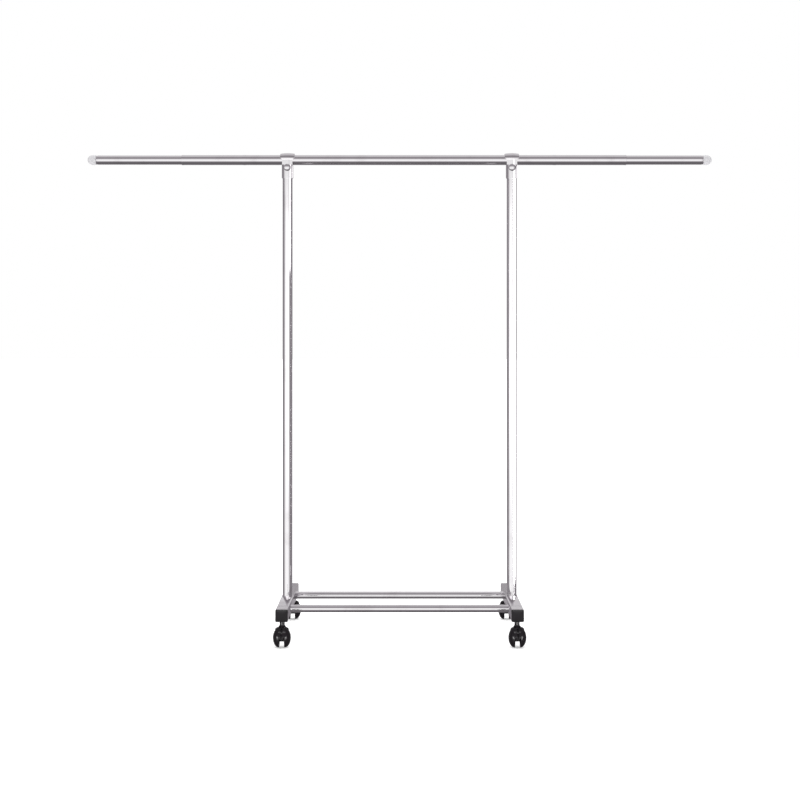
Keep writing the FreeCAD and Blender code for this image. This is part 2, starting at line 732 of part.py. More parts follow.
def makeHood(casterName, row, side):
    """Caster hood: neck round the stem, central web, axle hub and a thin skin over the wheels."""
    name = f"caster_hood_{casterName}"
    drumHalf = "wheelGap + wheelTread"
    innerRadius = "wheelRadius + hoodClearance"
    outerRadius = "wheelRadius + hoodClearance + hoodSkin"
    outside = wheelSetRound(f"{name}Outside", drumHalf, "wheelBulge + hoodClearance + hoodSkin", outerRadius)
    inside = wheelSetRound(f"{name}Inside", drumHalf, "wheelBulge + hoodClearance", innerRadius)
    skin = cut(f"{name}Skin", outside, [inside])
    upperHalf = block(
        f"{name}UpperHalf",
        ("0 - hoodHalfWidth", "0 - casterTrail - 2 * wheelRadius", "wheelRadius + hoodFoot"),
        ("2 * hoodHalfWidth", "4 * wheelRadius", "2 * wheelRadius"),
    )
    topSkin = common(f"{name}TopSkin", skin, upperHalf)

    webStart = ("0 - webHalfWidth", "0 - casterTrail", "wheelRadius")
    webRadius = "wheelRadius + hoodClearance + hoodSkin / 3"
    webDisc = cylinder(f"{name}WebDisc", webRadius, "2 * webHalfWidth", webStart, alongX)
    webKeep = block(
        f"{name}WebKeep",
        ("0 - webHalfWidth", "0 - casterTrail - 2 * wheelRadius", "wheelRadius - 2"),
        ("2 * webHalfWidth", "4 * wheelRadius", "2 * wheelRadius"),
    )
    web = common(f"{name}Web", webDisc, webKeep)
    hubStart = ("0 - hubHalfWidth", "0 - casterTrail", "wheelRadius")
    hub = cylinder(f"{name}Hub", "hubRadius", "2 * hubHalfWidth", hubStart, alongX)
    neck = cylinder(f"{name}Neck", "neckRadius", "neckTop - neckFoot", ("0", "0", "neckFoot"))
    hoodTop = "2 * wheelRadius + hoodClearance"
    flareSizes = {"Radius1": "neckRadius + neckFlare", "Radius2": "neckRadius", "Height": "neckFlareHeight"}
    flare = primitive("Cone", f"{name}Flare", flareSizes, ("0", "0", hoodTop))
    solid = fused(f"{name}Solid", [topSkin, web, hub, neck, flare])

    boreFoot = ("0", "0", "stemFoot - 0.5")
    stemBore = cylinder(f"{name}StemBore", "stemRadius + runningFit", "2 * wheelRadius", boreFoot)
    clipRoom = cylinder(f"{name}ClipRoom", "stemRadius + 1.3", "2.2", ("0", "0", "stemFoot + 2"))
    axleStart = ("0 - axleHalfLength", "0 - casterTrail", "wheelRadius")
    axleBore = cylinder(f"{name}AxleBore", "axleRadius + 0.02", "2 * axleHalfLength", axleStart, alongX)
    slotBlock = block(
        f"{name}SlotBlock",
        ("0 - hoodSlot / 2", "0 - casterTrail - 2 * wheelRadius", "wheelRadius"),
        ("hoodSlot", "2 * wheelRadius - neckRadius", "2 * wheelRadius"),
    )
    slotFloor = cylinder(f"{name}SlotFloor", "wheelRadius - 1.5", "2 * webHalfWidth", webStart, alongX)
    slot = cut(f"{name}Slot", slotBlock, [slotFloor])
    hood = cut(name, solid, [stemBore, clipRoom, axleBore, slot])
    casterPlace(hood, row, side)
    node(hood, name)


def makeAxle(casterName, row, side):
    """Steel pin pressed into the hood's hub, with a lathe's centre mark in one end."""
    name = f"caster_axle_{casterName}"
    start = ("0 - axleHalfLength", "0 - casterTrail", "wheelRadius")
    bar = cylinder(f"{name}Bar", "axleRadius", "2 * axleHalfLength", start, alongX)
    centreMark = cylinder(f"{name}Centre", "axleRadius / 4", "0.5", start, alongX)
    axle = cut(name, bar, [centreMark])
    casterPlace(axle, row, side)
    node(axle, name)


def makeWheel(casterName, wheelName, row, side, hand):
    """One wheel: narrow tread beside the gap, domed outer face, blind axle bore, hollow inner face."""
    name = f"wheel_{casterName}_{wheelName}"
    outward = alongX if hand > 0 else againstX

    def along(distance):
        return (f"{hand} * ({distance})", "0 - casterTrail", "wheelRadius")

    tread = cylinder(f"{name}Tread", "wheelRadius", "wheelTread", along("wheelGap"), outward)
    bulge = dome(f"{name}Bulge", "wheelBulge", "wheelRadius", along("wheelGap + wheelTread"), outward)
    solid = fused(f"{name}Solid", [tread, bulge])
    face = along("wheelGap")
    boreDepth = "axleHalfLength - wheelGap + 0.5"
    bore = cylinder(f"{name}Bore", "axleRadius + runningFit", boreDepth, face, outward)
    pocketRim = cylinder(f"{name}PocketRim", "wheelPocketOuter", "wheelPocketDepth", face, outward)
    pocketHub = cylinder(f"{name}PocketHub", "wheelPocketInner", "wheelPocketDepth", face, outward)
    pocket = cut(f"{name}Pocket", pocketRim, [pocketHub])
    wheel = cut(name, solid, [bore, pocket])
    casterPlace(wheel, row, side)
    node(wheel, name)


def makeCasters():
    clips = []
    nuts = []
    for rowName, row in rows.items():
        for sideName, side in sides.items():
            casterName = f"{rowName}_{sideName}"
            makeStem(casterName, row, side)
            clips.append(clipSolid(casterName, row, side))
            nuts.append(nutSolid(casterName, row, side))
            makeHood(casterName, row, side)
            makeAxle(casterName, row, side)
            for hand in (-1, 1):
                wheelName = "outer" if -hand * row == side else "inner"
                makeWheel(casterName, wheelName, row, side, hand)
    group("stem_clips", clips)
    group("caster_nuts", nuts)


for sideName, side in sides.items():
    makeFoot(sideName, side)
    makePost(sideName, side)
    makeSaddle(sideName, side)
    makeExtension(sideName, side)
for rowName, row in rows.items():
    makeRail(rowName, row)
    for sideName, side in sides.items():
        makeFootCap(rowName, row, sideName, side)
makeMainRod()
makePostFixings()
makeRailFixings()
makeSaddleFixings()
makeCasters()
doc.recompute()

for piece in doc.Objects:
    if "Invalid" in piece.State or "Error" in piece.State:
        raise ValueError(f"{piece.Name} failed: {piece.State}")
for piece in nodes:
    if piece.Shape.isNull() or not piece.Shape.isValid():
        raise ValueError(f"{piece.Label} has no valid shape")

os.makedirs("parts", exist_ok=True)
for piece in nodes:
    piece.Shape.exportStep(f"parts/{piece.Label}.step")
    print(f"{piece.Label}: {len(piece.Shape.Solids)} solid(s), {piece.Shape.Volume:.0f} cubic mm")
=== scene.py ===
import json
import math

import bmesh
import bpy
from mathutils import Matrix, Vector

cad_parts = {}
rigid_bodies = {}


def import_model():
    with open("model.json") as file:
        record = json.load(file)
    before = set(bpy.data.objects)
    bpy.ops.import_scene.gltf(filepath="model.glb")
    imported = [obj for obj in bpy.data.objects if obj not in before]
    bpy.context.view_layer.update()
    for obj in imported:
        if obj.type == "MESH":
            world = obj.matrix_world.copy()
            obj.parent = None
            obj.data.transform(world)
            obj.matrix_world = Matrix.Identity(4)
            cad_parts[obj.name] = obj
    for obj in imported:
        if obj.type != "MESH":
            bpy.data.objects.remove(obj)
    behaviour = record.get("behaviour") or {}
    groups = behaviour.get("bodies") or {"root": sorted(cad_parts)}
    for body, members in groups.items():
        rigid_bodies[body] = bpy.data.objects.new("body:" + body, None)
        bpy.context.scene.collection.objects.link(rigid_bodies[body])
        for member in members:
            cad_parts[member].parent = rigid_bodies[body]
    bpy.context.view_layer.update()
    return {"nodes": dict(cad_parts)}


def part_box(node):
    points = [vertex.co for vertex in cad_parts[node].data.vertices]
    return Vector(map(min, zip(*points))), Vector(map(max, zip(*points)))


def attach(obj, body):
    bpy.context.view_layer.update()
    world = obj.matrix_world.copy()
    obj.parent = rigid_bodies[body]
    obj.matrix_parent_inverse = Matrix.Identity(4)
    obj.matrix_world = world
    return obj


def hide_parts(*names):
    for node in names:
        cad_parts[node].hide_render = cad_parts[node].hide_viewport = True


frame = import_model()
scene = bpy.context.scene
mm = 0.001  # pieces are shaped in millimetres and placed in metres
sides = {"left": -1, "right": 1}
rows = {"front": -1, "back": 1}
print("frame loaded")

# ---- camera and studio


studio = {
    "cameraAt": (0.0, -4.103, 0.7374),
    "lens": 73.1,
    "sensorWidth": 36,
    "shiftDown": 0.0744,
    "shiftRight": 0.00045,
    "backdrop": 1.0,
    "fill": 1.15,
    "mauve": (0.96, 0.90, 0.96),
    "mauveSpan": (0.25, 1.0),
    "floorRadius": 60.0,
    "floorSteps": 96,
    "floorColour": (0.93, 0.925, 0.93),
    "floorRoughness": 0.9,
    "floorGloss": 0.1,
    "floorGlow": 0.35,
}

# the studio as reflections see it; a span says where a glow starts and where it is full
surroundings = {
    "sideDark": 0.29,
    "groundShare": 0.55,
    "groundSpan": (-0.95, 0.0),
    "frontGlow": 0.92,
    "frontTurn": 12,
    "frontSpan": (0.2, 0.95),
    "frontTopSpan": (0.72, -0.15),
    "frontFootSpan": (-1.0, -0.25),
    "backGlow": 0.12,
    "backSpan": (0.45, 0.95),
    "topGlow": 0.40,
    "topUp": 0.89,
    "topBack": 0.45,
    "topSpan": (0.45, 0.9),
}

casterStarts = ("wheel", "caster_hood", "caster_stem")

softboxes = [
    # name, place, what it looks at, width, height, watts, the pieces it lights (all when empty)
    ("overheadSoftbox", (0.0, 0.4, 3.4), (0, 0, 0.5), 3.2, 2.4, 25, ()),
    ("leftLowSoftbox", (-1.75, -2.7, 0.1), (-0.28, 0, 0.03), 2.0, 1.3, 450, casterStarts),
    ("rightLowSoftbox", (1.75, -2.7, 0.1), (0.28, 0, 0.03), 2.0, 1.3, 450, casterStarts),
    ("browSoftbox", (0, -1.4, 2.9), (0, 0, 0.03), 0.9, 0.6, 60, ("wheel", "caster_hood")),
    ("capSoftbox", (0, -2.0, 0.85), (0, -0.2, 0.08), 1.6, 0.5, 34, ("footCap",)),
    ("rightTopSoftbox", (1.5, -0.9, 1.25), (0, 0, 1.1), 1.3, 0.5, 3, ("saddle_", "postTube_left")),
    ("collarSoftbox", (1.3, 0.9, 1.15), (0, 0, 1.15), 2.0, 0.5, 2.7, ("saddle_",)),
    ("rightPostSoftbox", (1.6, -0.75, 0.65), (0.283, 0, 0.6), 1.2, 1.5, 60, ("postTube_right",)),
]

frontCard = {
    "at": (-0.3, -1.05, 0.72),
    "width": 1.9,
    "height": 1.15,
    "plainWidth": 0.55,
    "plainHeight": 0.35,
    "strength": 0.9,
    "lights": ("postTube", "saddle_"),
}


def addNode(tree, kind, **values):
    node = tree.nodes.new(f"ShaderNode{kind}")
    for key, value in values.items():
        setattr(node, key, value)
    return node


def mathNode(tree, operation, first, second=None, clamp=False):
    node = addNode(tree, "Math", operation=operation, use_clamp=clamp)
    for socket, value in zip(node.inputs, (first, second)):
        if value is None:
            continue
        if isinstance(value, (int, float)):
            socket.default_value = value
        else:
            tree.links.new(value, socket)
    return node.outputs[0]


def stepBetween(tree, value, low, high, bottom=0.0, top=1.0):
    # smooth step from bottom to top while value goes from low to high
    node = addNode(tree, "MapRange", interpolation_type="SMOOTHSTEP")
    tree.links.new(value, node.inputs["Value"])
    limits = {"From Min": low, "From Max": high, "To Min": bottom, "To Max": top}
    for name, amount in limits.items():
        node.inputs[name].default_value = amount
    return node.outputs["Result"]


def makeCamera():
    data = bpy.data.cameras.new("camera")
    data.lens = studio["lens"]
    data.sensor_width = studio["sensorWidth"]
    data.shift_x = studio["shiftRight"]
    data.shift_y = -studio["shiftDown"]
    camera = bpy.data.objects.new("camera", data)
    camera.location = studio["cameraAt"]
    camera.rotation_euler = (math.radians(90), 0, 0)
    scene.collection.objects.link(camera)
    scene.camera = camera


def makeWorld():
    # white to the lens; in reflections bright in front, faint behind and above, darker at the sides
    world = bpy.data.worlds.new("studioWorld")
    scene.world = world
    world.use_nodes = True
    tree = world.node_tree
    tree.nodes.clear()
    direction = addNode(tree, "TexCoord").outputs["Generated"]
    parts = addNode(tree, "SeparateXYZ")
    tree.links.new(direction, parts.inputs[0])
    across, back, up = parts.outputs
    # the bright side is turned a little to the left
    turn = math.radians(surroundings["frontTurn"])
    front = mathNode(
        tree,
        "ADD",
        mathNode(tree, "MULTIPLY", back, -math.cos(turn)),
        mathNode(tree, "MULTIPLY", across, -math.sin(turn)),
    )
    level = mathNode(
        tree,
        "MULTIPLY",
        stepBetween(tree, up, *surroundings["frontTopSpan"]),
        stepBetween(tree, up, *surroundings["frontFootSpan"]),
    )
    frontLight = stepBetween(tree, front, *surroundings["frontSpan"], 0, surroundings["frontGlow"])
    frontLight = mathNode(tree, "MULTIPLY", frontLight, level)
    backLight = stepBetween(tree, back, *surroundings["backSpan"], 0, surroundings["backGlow"])
    towardTop = mathNode(
        tree,
        "ADD",
        mathNode(tree, "MULTIPLY", up, surroundings["topUp"]),
        mathNode(tree, "MULTIPLY", back, surroundings["topBack"]),
    )
    topLight = stepBetween(tree, towardTop, *surroundings["topSpan"], 0, surroundings["topGlow"])
    dark = surroundings["sideDark"]
    underneath = dark * surroundings["groundShare"]
    ground = stepBetween(tree, up, *surroundings["groundSpan"], underneath, dark)
    total = mathNode(tree, "ADD", ground, frontLight)
    total = mathNode(tree, "ADD", total, backLight)
    total = mathNode(tree, "ADD", total, topLight)
    # darker light is slightly mauve
    tint = addNode(tree, "Mix", data_type="RGBA")
    tree.links.new(stepBetween(tree, total, *studio["mauveSpan"]), tint.inputs["Factor"])
    tint.inputs["A"].default_value = (*studio["mauve"], 1)
    tint.inputs["B"].default_value = (1, 1, 1, 1)
    reflected = addNode(tree, "Background")
    tree.links.new(tint.outputs["Result"], reflected.inputs["Color"])
    tree.links.new(total, reflected.inputs["Strength"])
    rays = addNode(tree, "LightPath")
    plain = addNode(tree, "Background")
    plain.inputs["Color"].default_value = (1, 1, 1, 1)
    backdrop = addNode(tree, "MapRange")
    tree.links.new(rays.outputs["Is Camera Ray"], backdrop.inputs["Value"])
    backdrop.inputs["To Min"].default_value = studio["fill"]
    backdrop.inputs["To Max"].default_value = studio["backdrop"]
    tree.links.new(backdrop.outputs["Result"], plain.inputs["Strength"])
    mix = addNode(tree, "MixShader")
    tree.links.new(rays.outputs["Is Glossy Ray"], mix.inputs[0])
    tree.links.new(plain.outputs[0], mix.inputs[1])
    tree.links.new(reflected.outputs[0], mix.inputs[2])
    output = addNode(tree, "OutputWorld")
    tree.links.new(mix.outputs[0], output.inputs["Surface"])


def makeSoftboxes():
    for name, at, target, width, height, watts, lit in softboxes:
        data = bpy.data.lights.new(name, "AREA")
        data.shape = "RECTANGLE"
        data.size = width
        data.size_y = height
        data.energy = watts
        light = bpy.data.objects.new(name, data)
        light.location = at
        light.rotation_euler = (Vector(target) - Vector(at)).to_track_quat("-Z", "Y").to_euler()
        light.visible_camera = False
        light.visible_glossy = bool(lit)
        scene.collection.objects.link(light)


def aimSoftboxes():
    # some softboxes only light the pieces whose names start as given
    aimed = [(entry[0], entry[-1]) for entry in softboxes if entry[-1]]
    aimed.append(("frontCard", frontCard["lights"]))
    for name, lit in aimed:
        receivers = bpy.data.collections.new(f"{name}Receivers")
        for item in scene.objects:
            if item.type == "MESH" and item.name.startswith(lit):
                receivers.objects.link(item)
        bpy.data.objects[name].light_linking.receiver_collection = receivers


def stageMesh(name, bm, material):
    mesh = bpy.data.meshes.new(name)
    bm.to_mesh(mesh)
    bm.free()
    mesh.materials.append(material)
    item = bpy.data.objects.new(name, mesh)
    scene.collection.objects.link(item)
    return item


def makeFloor():
    material = bpy.data.materials.new("paleFloor")
    material.use_nodes = True
    shader = material.node_tree.nodes["Principled BSDF"]
    shader.inputs["Base Color"].default_value = (*studio["floorColour"], 1)
    shader.inputs["Roughness"].default_value = studio["floorRoughness"]
    shader.inputs["Specular IOR Level"].default_value = studio["floorGloss"]
    shader.inputs["Emission Color"].default_value = (1, 1, 1, 1)
    shader.inputs["Emission Strength"].default_value = studio["floorGlow"]
    bm = bmesh.new()
    bmesh.ops.create_circle(
        bm, cap_ends=True, segments=studio["floorSteps"], radius=studio["floorRadius"]
    )
    floor = stageMesh("floor", bm, material)
    floor.visible_glossy = False


def makeFrontCard():
    # a soft-edged bright panel in front of the rack, seen only in reflections
    material = bpy.data.materials.new("frontCardLight")
    material.use_nodes = True
    tree = material.node_tree
    tree.nodes.clear()
    parts = addNode(tree, "SeparateXYZ")
    tree.links.new(addNode(tree, "TexCoord").outputs["Object"], parts.inputs[0])
    halfWidth, halfHeight = frontCard["width"] / 2, frontCard["height"] / 2
    sideways = mathNode(tree, "ABSOLUTE", parts.outputs["X"])
    upward = mathNode(tree, "ABSOLUTE", parts.outputs["Y"])
    mask = mathNode(
        tree,
        "MULTIPLY",
        stepBetween(tree, sideways, halfWidth, halfWidth * frontCard["plainWidth"]),
        stepBetween(tree, upward, halfHeight, halfHeight * frontCard["plainHeight"]),
    )
    glow = addNode(tree, "Emission")
    clear = addNode(tree, "BsdfTransparent")
    # the card adds its light to what lies behind it
    total = addNode(tree, "AddShader")
    strength = mathNode(tree, "MULTIPLY", mask, frontCard["strength"])
    tree.links.new(strength, glow.inputs["Strength"])
    tree.links.new(glow.outputs[0], total.inputs[0])
    tree.links.new(clear.outputs[0], total.inputs[1])
    output = addNode(tree, "OutputMaterial")
    tree.links.new(total.outputs[0], output.inputs["Surface"])
    bm = bmesh.new()
    bmesh.ops.create_grid(bm, x_segments=1, y_segments=1, size=0.5)
    bmesh.ops.scale(bm, vec=(frontCard["width"], frontCard["height"], 1), verts=bm.verts)
    card = stageMesh("frontCard", bm, material)
    card.location = frontCard["at"]
    card.rotation_euler = (math.radians(90), 0, 0)
    card.visible_camera = False
    card.visible_diffuse = False
    card.visible_shadow = False
    card.visible_transmission = False


makeCamera()
makeWorld()
makeSoftboxes()
makeFloor()
makeFrontCard()
scene.view_settings.view_transform = "Standard"
print("studio ready")

# ---- shared surface effects

# where a noise or an edge starts to show, and where it shows in full
effectSpans = {
    "marks": (0.5, 0.72),
    "lines": (0.45, 0.8),
    "edges": (0.52, 0.62),
    "rubs": (0.35, 0.7),
}
effectScales = {"patches": 60.0, "rubs": 260.0}


def newGroup(name, inputs, outputs):
    group = bpy.data.node_groups.new(name, "ShaderNodeTree")
    for label, kind, value in inputs:
        socket = group.interface.new_socket(label, in_out="INPUT", socket_type=kind)
        if value is not None:
            socket.default_value = value
    for label in outputs:
        group.interface.new_socket(label, in_out="OUTPUT", socket_type="NodeSocketFloat")
    start = group.nodes.new("NodeGroupInput")
    end = group.nodes.new("NodeGroupOutput")
    return group, start, end


def noise(tree, coordinates, scale, detail=3.0, roughness=0.55):
    node = addNode(tree, "TexNoise")
    tree.links.new(coordinates, node.inputs["Vector"])
    if isinstance(scale, (int, float)):
        node.inputs["Scale"].default_value = scale
    else:
        tree.links.new(scale, node.inputs["Scale"])
    node.inputs["Detail"].default_value = detail
    node.inputs["Roughness"].default_value = roughness
    return node.outputs["Fac"]


def makeHandled():
    # soft hand marks and a haze of fine rub lines: where they are, the surface is rougher
    group, start, end = newGroup(
        "handledSurface",
        [
            ("Coordinates", "NodeSocketVector", None),
            ("Line Coordinates", "NodeSocketVector", None),
            ("Roughness", "NodeSocketFloat", 0.1),
            ("Mark Scale", "NodeSocketFloat", 14.0),
            ("Mark Strength", "NodeSocketFloat", 0.05),
            ("Line Strength", "NodeSocketFloat", 0.03),
        ],
        ["Roughness", "Height", "Marks"],
    )
    given = start.outputs
    marks = noise(group, given["Coordinates"], given["Mark Scale"])
    marks = stepBetween(group, marks, *effectSpans["marks"])
    lines = noise(group, given["Line Coordinates"], 1.0, detail=4.0, roughness=0.65)
    lineAmount = stepBetween(group, lines, *effectSpans["lines"])
    markRough = mathNode(group, "MULTIPLY", marks, given["Mark Strength"])
    lineRough = mathNode(group, "MULTIPLY", lineAmount, given["Line Strength"])
    rough = mathNode(group, "ADD", markRough, lineRough)
    rough = mathNode(group, "ADD", rough, given["Roughness"])
    group.links.new(rough, end.inputs["Roughness"])
    group.links.new(lines, end.inputs["Height"])
    group.links.new(marks, end.inputs["Marks"])
    return group


def makeGrain():
    # spark-eroded mould texture, with slow patches that are a little shinier
    group, start, end = newGroup(
        "mouldGrain",
        [
            ("Coordinates", "NodeSocketVector", None),
            ("Grain Scale", "NodeSocketFloat", 1400.0),
            ("Roughness", "NodeSocketFloat", 0.4),
            ("Variation", "NodeSocketFloat", 0.08),
        ],
        ["Roughness", "Height", "Patches"],
    )
    given = start.outputs
    grain = noise(group, given["Coordinates"], given["Grain Scale"], detail=2.0)
    patches = noise(group, given["Coordinates"], effectScales["patches"])
    # from minus the variation to plus the variation
    swing = mathNode(group, "SUBTRACT", patches, 0.5)
    swing = mathNode(group, "MULTIPLY", swing, given["Variation"])
    swing = mathNode(group, "MULTIPLY", swing, 2.0)
    rough = mathNode(group, "ADD", given["Roughness"], swing)
    group.links.new(rough, end.inputs["Roughness"])
    group.links.new(grain, end.inputs["Height"])
    group.links.new(patches, end.inputs["Patches"])
    return group


def makeWear():
    # rubbed outer edges, broken up by noise
    group, start, end = newGroup(
        "rubbedEdges",
        [("Coordinates", "NodeSocketVector", None), ("Amount", "NodeSocketFloat", 0.5)],
        ["Mask"],
    )
    geometry = addNode(group, "NewGeometry")
    edges = stepBetween(group, geometry.outputs["Pointiness"], *effectSpans["edges"])
    patchy = noise(group, start.outputs["Coordinates"], effectScales["rubs"])
    patchy = stepBetween(group, patchy, *effectSpans["rubs"])
    mask = mathNode(group, "MULTIPLY", edges, patchy)
    mask = mathNode(group, "MULTIPLY", mask, start.outputs["Amount"], clamp=True)
    group.links.new(mask, end.inputs["Mask"])
    return group


handledSurface = makeHandled()
mouldGrain = makeGrain()
rubbedEdges = makeWear()


def useGroup(tree, group, links, **values):
    node = addNode(tree, "Group", node_tree=group)
    for name, source in links.items():
        tree.links.new(source, node.inputs[name])
    for name, value in values.items():
        node.inputs[name].default_value = value
    return node


def scaled(tree, coordinates, scale):
    node = addNode(tree, "Mapping")
    tree.links.new(coordinates, node.inputs["Vector"])
    node.inputs["Scale"].default_value = scale
    return node.outputs["Vector"]


def startMaterial(name, **values):
    material = bpy.data.materials.new(name)
    material.use_nodes = True
    tree = material.node_tree
    shader = tree.nodes["Principled BSDF"]
    for label, value in values.items():
        shader.inputs[label].default_value = value
    return material, tree, shader, addNode(tree, "TexCoord").outputs["Object"]


def twoTone(tree, mask, first, second, target):
    mix = addNode(tree, "Mix", data_type="RGBA")
    tree.links.new(mask, mix.inputs["Factor"])
    mix.inputs["A"].default_value = (*first, 1)
    mix.inputs["B"].default_value = (*second, 1)
    tree.links.new(mix.outputs["Result"], target)


def raised(tree, height, strength, distance, shader):
    bump = addNode(tree, "Bump")
    bump.inputs["Strength"].default_value = strength
    bump.inputs["Distance"].default_value = distance
    tree.links.new(height, bump.inputs["Height"])
    tree.links.new(bump.outputs["Normal"], shader.inputs["Normal"])


chromeFinish = {
    "clean": (0.79, 0.775, 0.79),
    "marked": (0.72, 0.70, 0.715),
    "roughness": 0.055,
    "markScale": 16.0,
    "markStrength": 0.07,
    "lineStrength": 0.03,
    "lineDensity": 700.0,
    "lineStretch": 6.0,
    "bump": 0.06,
    "bumpDepth": 0.00002,
    "castRoughness": 0.075,
    "fastenerRoughness": 0.09,
}

platedFinish = {
    "clean": (0.60, 0.60, 0.59),
    "marked": (0.48, 0.48, 0.49),
    "roughness": 0.3,
    "markScale": 220.0,
    "markStrength": 0.14,
    "lineStrength": 0.1,
    "lineScale": (500, 500, 900),
    "bump": 0.2,
    "bumpDepth": 0.00005,
}

milkyFinish = {
    "refraction": 1.46,
    "inner": 0.3,
    "innerColours": (0.6, 0.6, 0.62),
    "innerReach": 0.01,
    "grainScale": 500.0,
    "roughness": 0.32,
    "variation": 0.06,
    "darker": (0.51, 0.505, 0.52),
    "lighter": (0.56, 0.555, 0.57),
    "bump": 0.1,
    "bumpDepth": 0.00005,
}


def makeMetal(name, finish, roughness, lineScale):
    # metal with hand marks and rub lines; the line scale says how long the lines are on each axis
    material, tree, shader, coordinates = startMaterial(name, Metallic=1.0)
    surface = useGroup(
        tree,
        handledSurface,
        {"Coordinates": coordinates, "Line Coordinates": scaled(tree, coordinates, lineScale)},
        **{
            "Roughness": roughness,
            "Mark Scale": finish["markScale"],
            "Mark Strength": finish["markStrength"],
            "Line Strength": finish["lineStrength"],
        },
    )
    colour = shader.inputs["Base Color"]
    tree.links.new(surface.outputs["Roughness"], shader.inputs["Roughness"])
    twoTone(tree, surface.outputs["Marks"], finish["clean"], finish["marked"], colour)
    raised(tree, surface.outputs["Height"], finish["bump"], finish["bumpDepth"], shader)
    return material


def makeChrome(name, along, roughness=chromeFinish["roughness"]):
    # polished chrome: the faint lines follow one axis
    density, stretch = chromeFinish["lineDensity"], chromeFinish["lineStretch"]
    lineScale = [stretch if axis == along else density for axis in "xyz"]
    return makeMetal(name, chromeFinish, roughness, lineScale)


plasticGrain = {"variation": 0.05, "depth": 0.00004}

plasticFinishes = {
    # name: body colour, rubbed colour, roughness, grain scale, grain strength, wear, gloss
    "capPlastic": ((0.006, 0.005, 0.006), (0.04, 0.038, 0.04), 0.33, 1500.0, 0.25, 0.5, 0.18),
    "casterPlastic": ((0.003, 0.0025, 0.003), (0.02, 0.02, 0.02), 0.22, 900.0, 0.08, 0.35, 0.07),
    "wheelPlastic": ((0.003, 0.0025, 0.003), (0.02, 0.019, 0.018), 0.33, 900.0, 0.1, 0.6, 0.07),
    "stemCoating": ((0.004, 0.0035, 0.004), (0.02, 0.02, 0.02), 0.3, 900.0, 0.08, 0.35, 0.1),
    "bushPlastic": ((0.66, 0.65, 0.60), (0.74, 0.73, 0.70), 0.5, 1200.0, 0.15, 0.2, 0.5),
}


def makePlastic(name):
    body, rubbed, roughness, grainScale, grainStrength, wear, gloss = plasticFinishes[name]
    material, tree, shader, coordinates = startMaterial(name, **{"Specular IOR Level": gloss})
    grain = useGroup(
        tree,
        mouldGrain,
        {"Coordinates": coordinates},
        **{
            "Grain Scale": grainScale,
            "Roughness": roughness,
            "Variation": plasticGrain["variation"],
        },
    )
    rub = useGroup(tree, rubbedEdges, {"Coordinates": coordinates}, Amount=wear)
    tree.links.new(grain.outputs["Roughness"], shader.inputs["Roughness"])
    twoTone(tree, rub.outputs["Mask"], body, rubbed, shader.inputs["Base Color"])
    raised(tree, grain.outputs["Height"], grainStrength, plasticGrain["depth"], shader)
    return material


def makeMilky():
    # milky, slightly see-through vinyl of the end plugs
    material, tree, shader, coordinates = startMaterial(
        "milkyPlastic",
        **{
            "IOR": milkyFinish["refraction"],
            "Subsurface Weight": milkyFinish["inner"],
            "Subsurface Radius": milkyFinish["innerColours"],
            "Subsurface Scale": milkyFinish["innerReach"],
        },
    )
    grain = useGroup(
        tree,
        mouldGrain,
        {"Coordinates": coordinates},
        **{
            "Grain Scale": milkyFinish["grainScale"],
            "Roughness": milkyFinish["roughness"],
            "Variation": milkyFinish["variation"],
        },
    )
    colour = shader.inputs["Base Color"]
    tree.links.new(grain.outputs["Roughness"], shader.inputs["Roughness"])
    twoTone(tree, grain.outputs["Patches"], milkyFinish["darker"], milkyFinish["lighter"], colour)
    raised(tree, grain.outputs["Height"], milkyFinish["bump"], milkyFinish["bumpDepth"], shader)
    return material


chromeX = makeChrome("chromeAlongX", "x")
chromeY = makeChrome("chromeAlongY", "y")
chromeZ = makeChrome("chromeAlongZ", "z")
chromeCast = makeChrome("chromeCast", "z", chromeFinish["castRoughness"])
chromeFastener = makeChrome("chromeFastener", "y", chromeFinish["fastenerRoughness"])
platedSteel = makeMetal(
    "platedSteel", platedFinish, platedFinish["roughness"], platedFinish["lineScale"]
)
plastics = {name: makePlastic(name) for name in plasticFinishes}
milkyPlastic = makeMilky()
print("materials ready")

# ---- shaping helpers

tinyGap = 0.0005  # millimetres: corners closer than this become one
parallel = 0.999  # cosine above which two directions count as the same
sharpAngle = 32  # degrees: steeper edges stay crisp


def turnedShape(outline, steps):
    # outline: (radius, height, rounding) turned round the vertical axis
    # it closes on itself, or both its ends are on the axis
    bm = bmesh.new()
    corners = [bm.verts.new((radius, 0, height)) for radius, height, rounding in outline]
    for first, second in zip(corners, corners[1:]):
        bm.edges.new((first, second))
    if outline[0][0] > 0 and outline[-1][0] > 0:
        bm.edges.new((corners[-1], corners[0]))
    for amount in sorted({rounding for radius, height, rounding in outline if rounding}):
        chosen = [corner for corner, entry in zip(corners, outline) if entry[2] == amount]
        bmesh.ops.bevel(
            bm,
            geom=chosen,
            offset=amount,
            segments=4,
            profile=0.5,
            affect="VERTICES",
            material=-1,
        )
    bmesh.ops.spin(
        bm,
        geom=bm.verts[:] + bm.edges[:],
        cent=(0, 0, 0),
        axis=(0, 0, 1),
        angle=2 * math.pi,
        steps=steps,
        use_merge=True,
    )
    bmesh.ops.remove_doubles(bm, verts=bm.verts, dist=tinyGap)
    bmesh.ops.recalc_face_normals(bm, faces=bm.faces)
    return bm


def quarterOval(radius, rise, foot, count):
    # points up a quarter ellipse from the rim to the axis
    points = []
    for i in range(count):
        angle = math.pi / 2 * i / count
        points.append((radius * math.cos(angle), foot + rise * math.sin(angle), 0))
    return points + [(0, foot + rise, 0)]


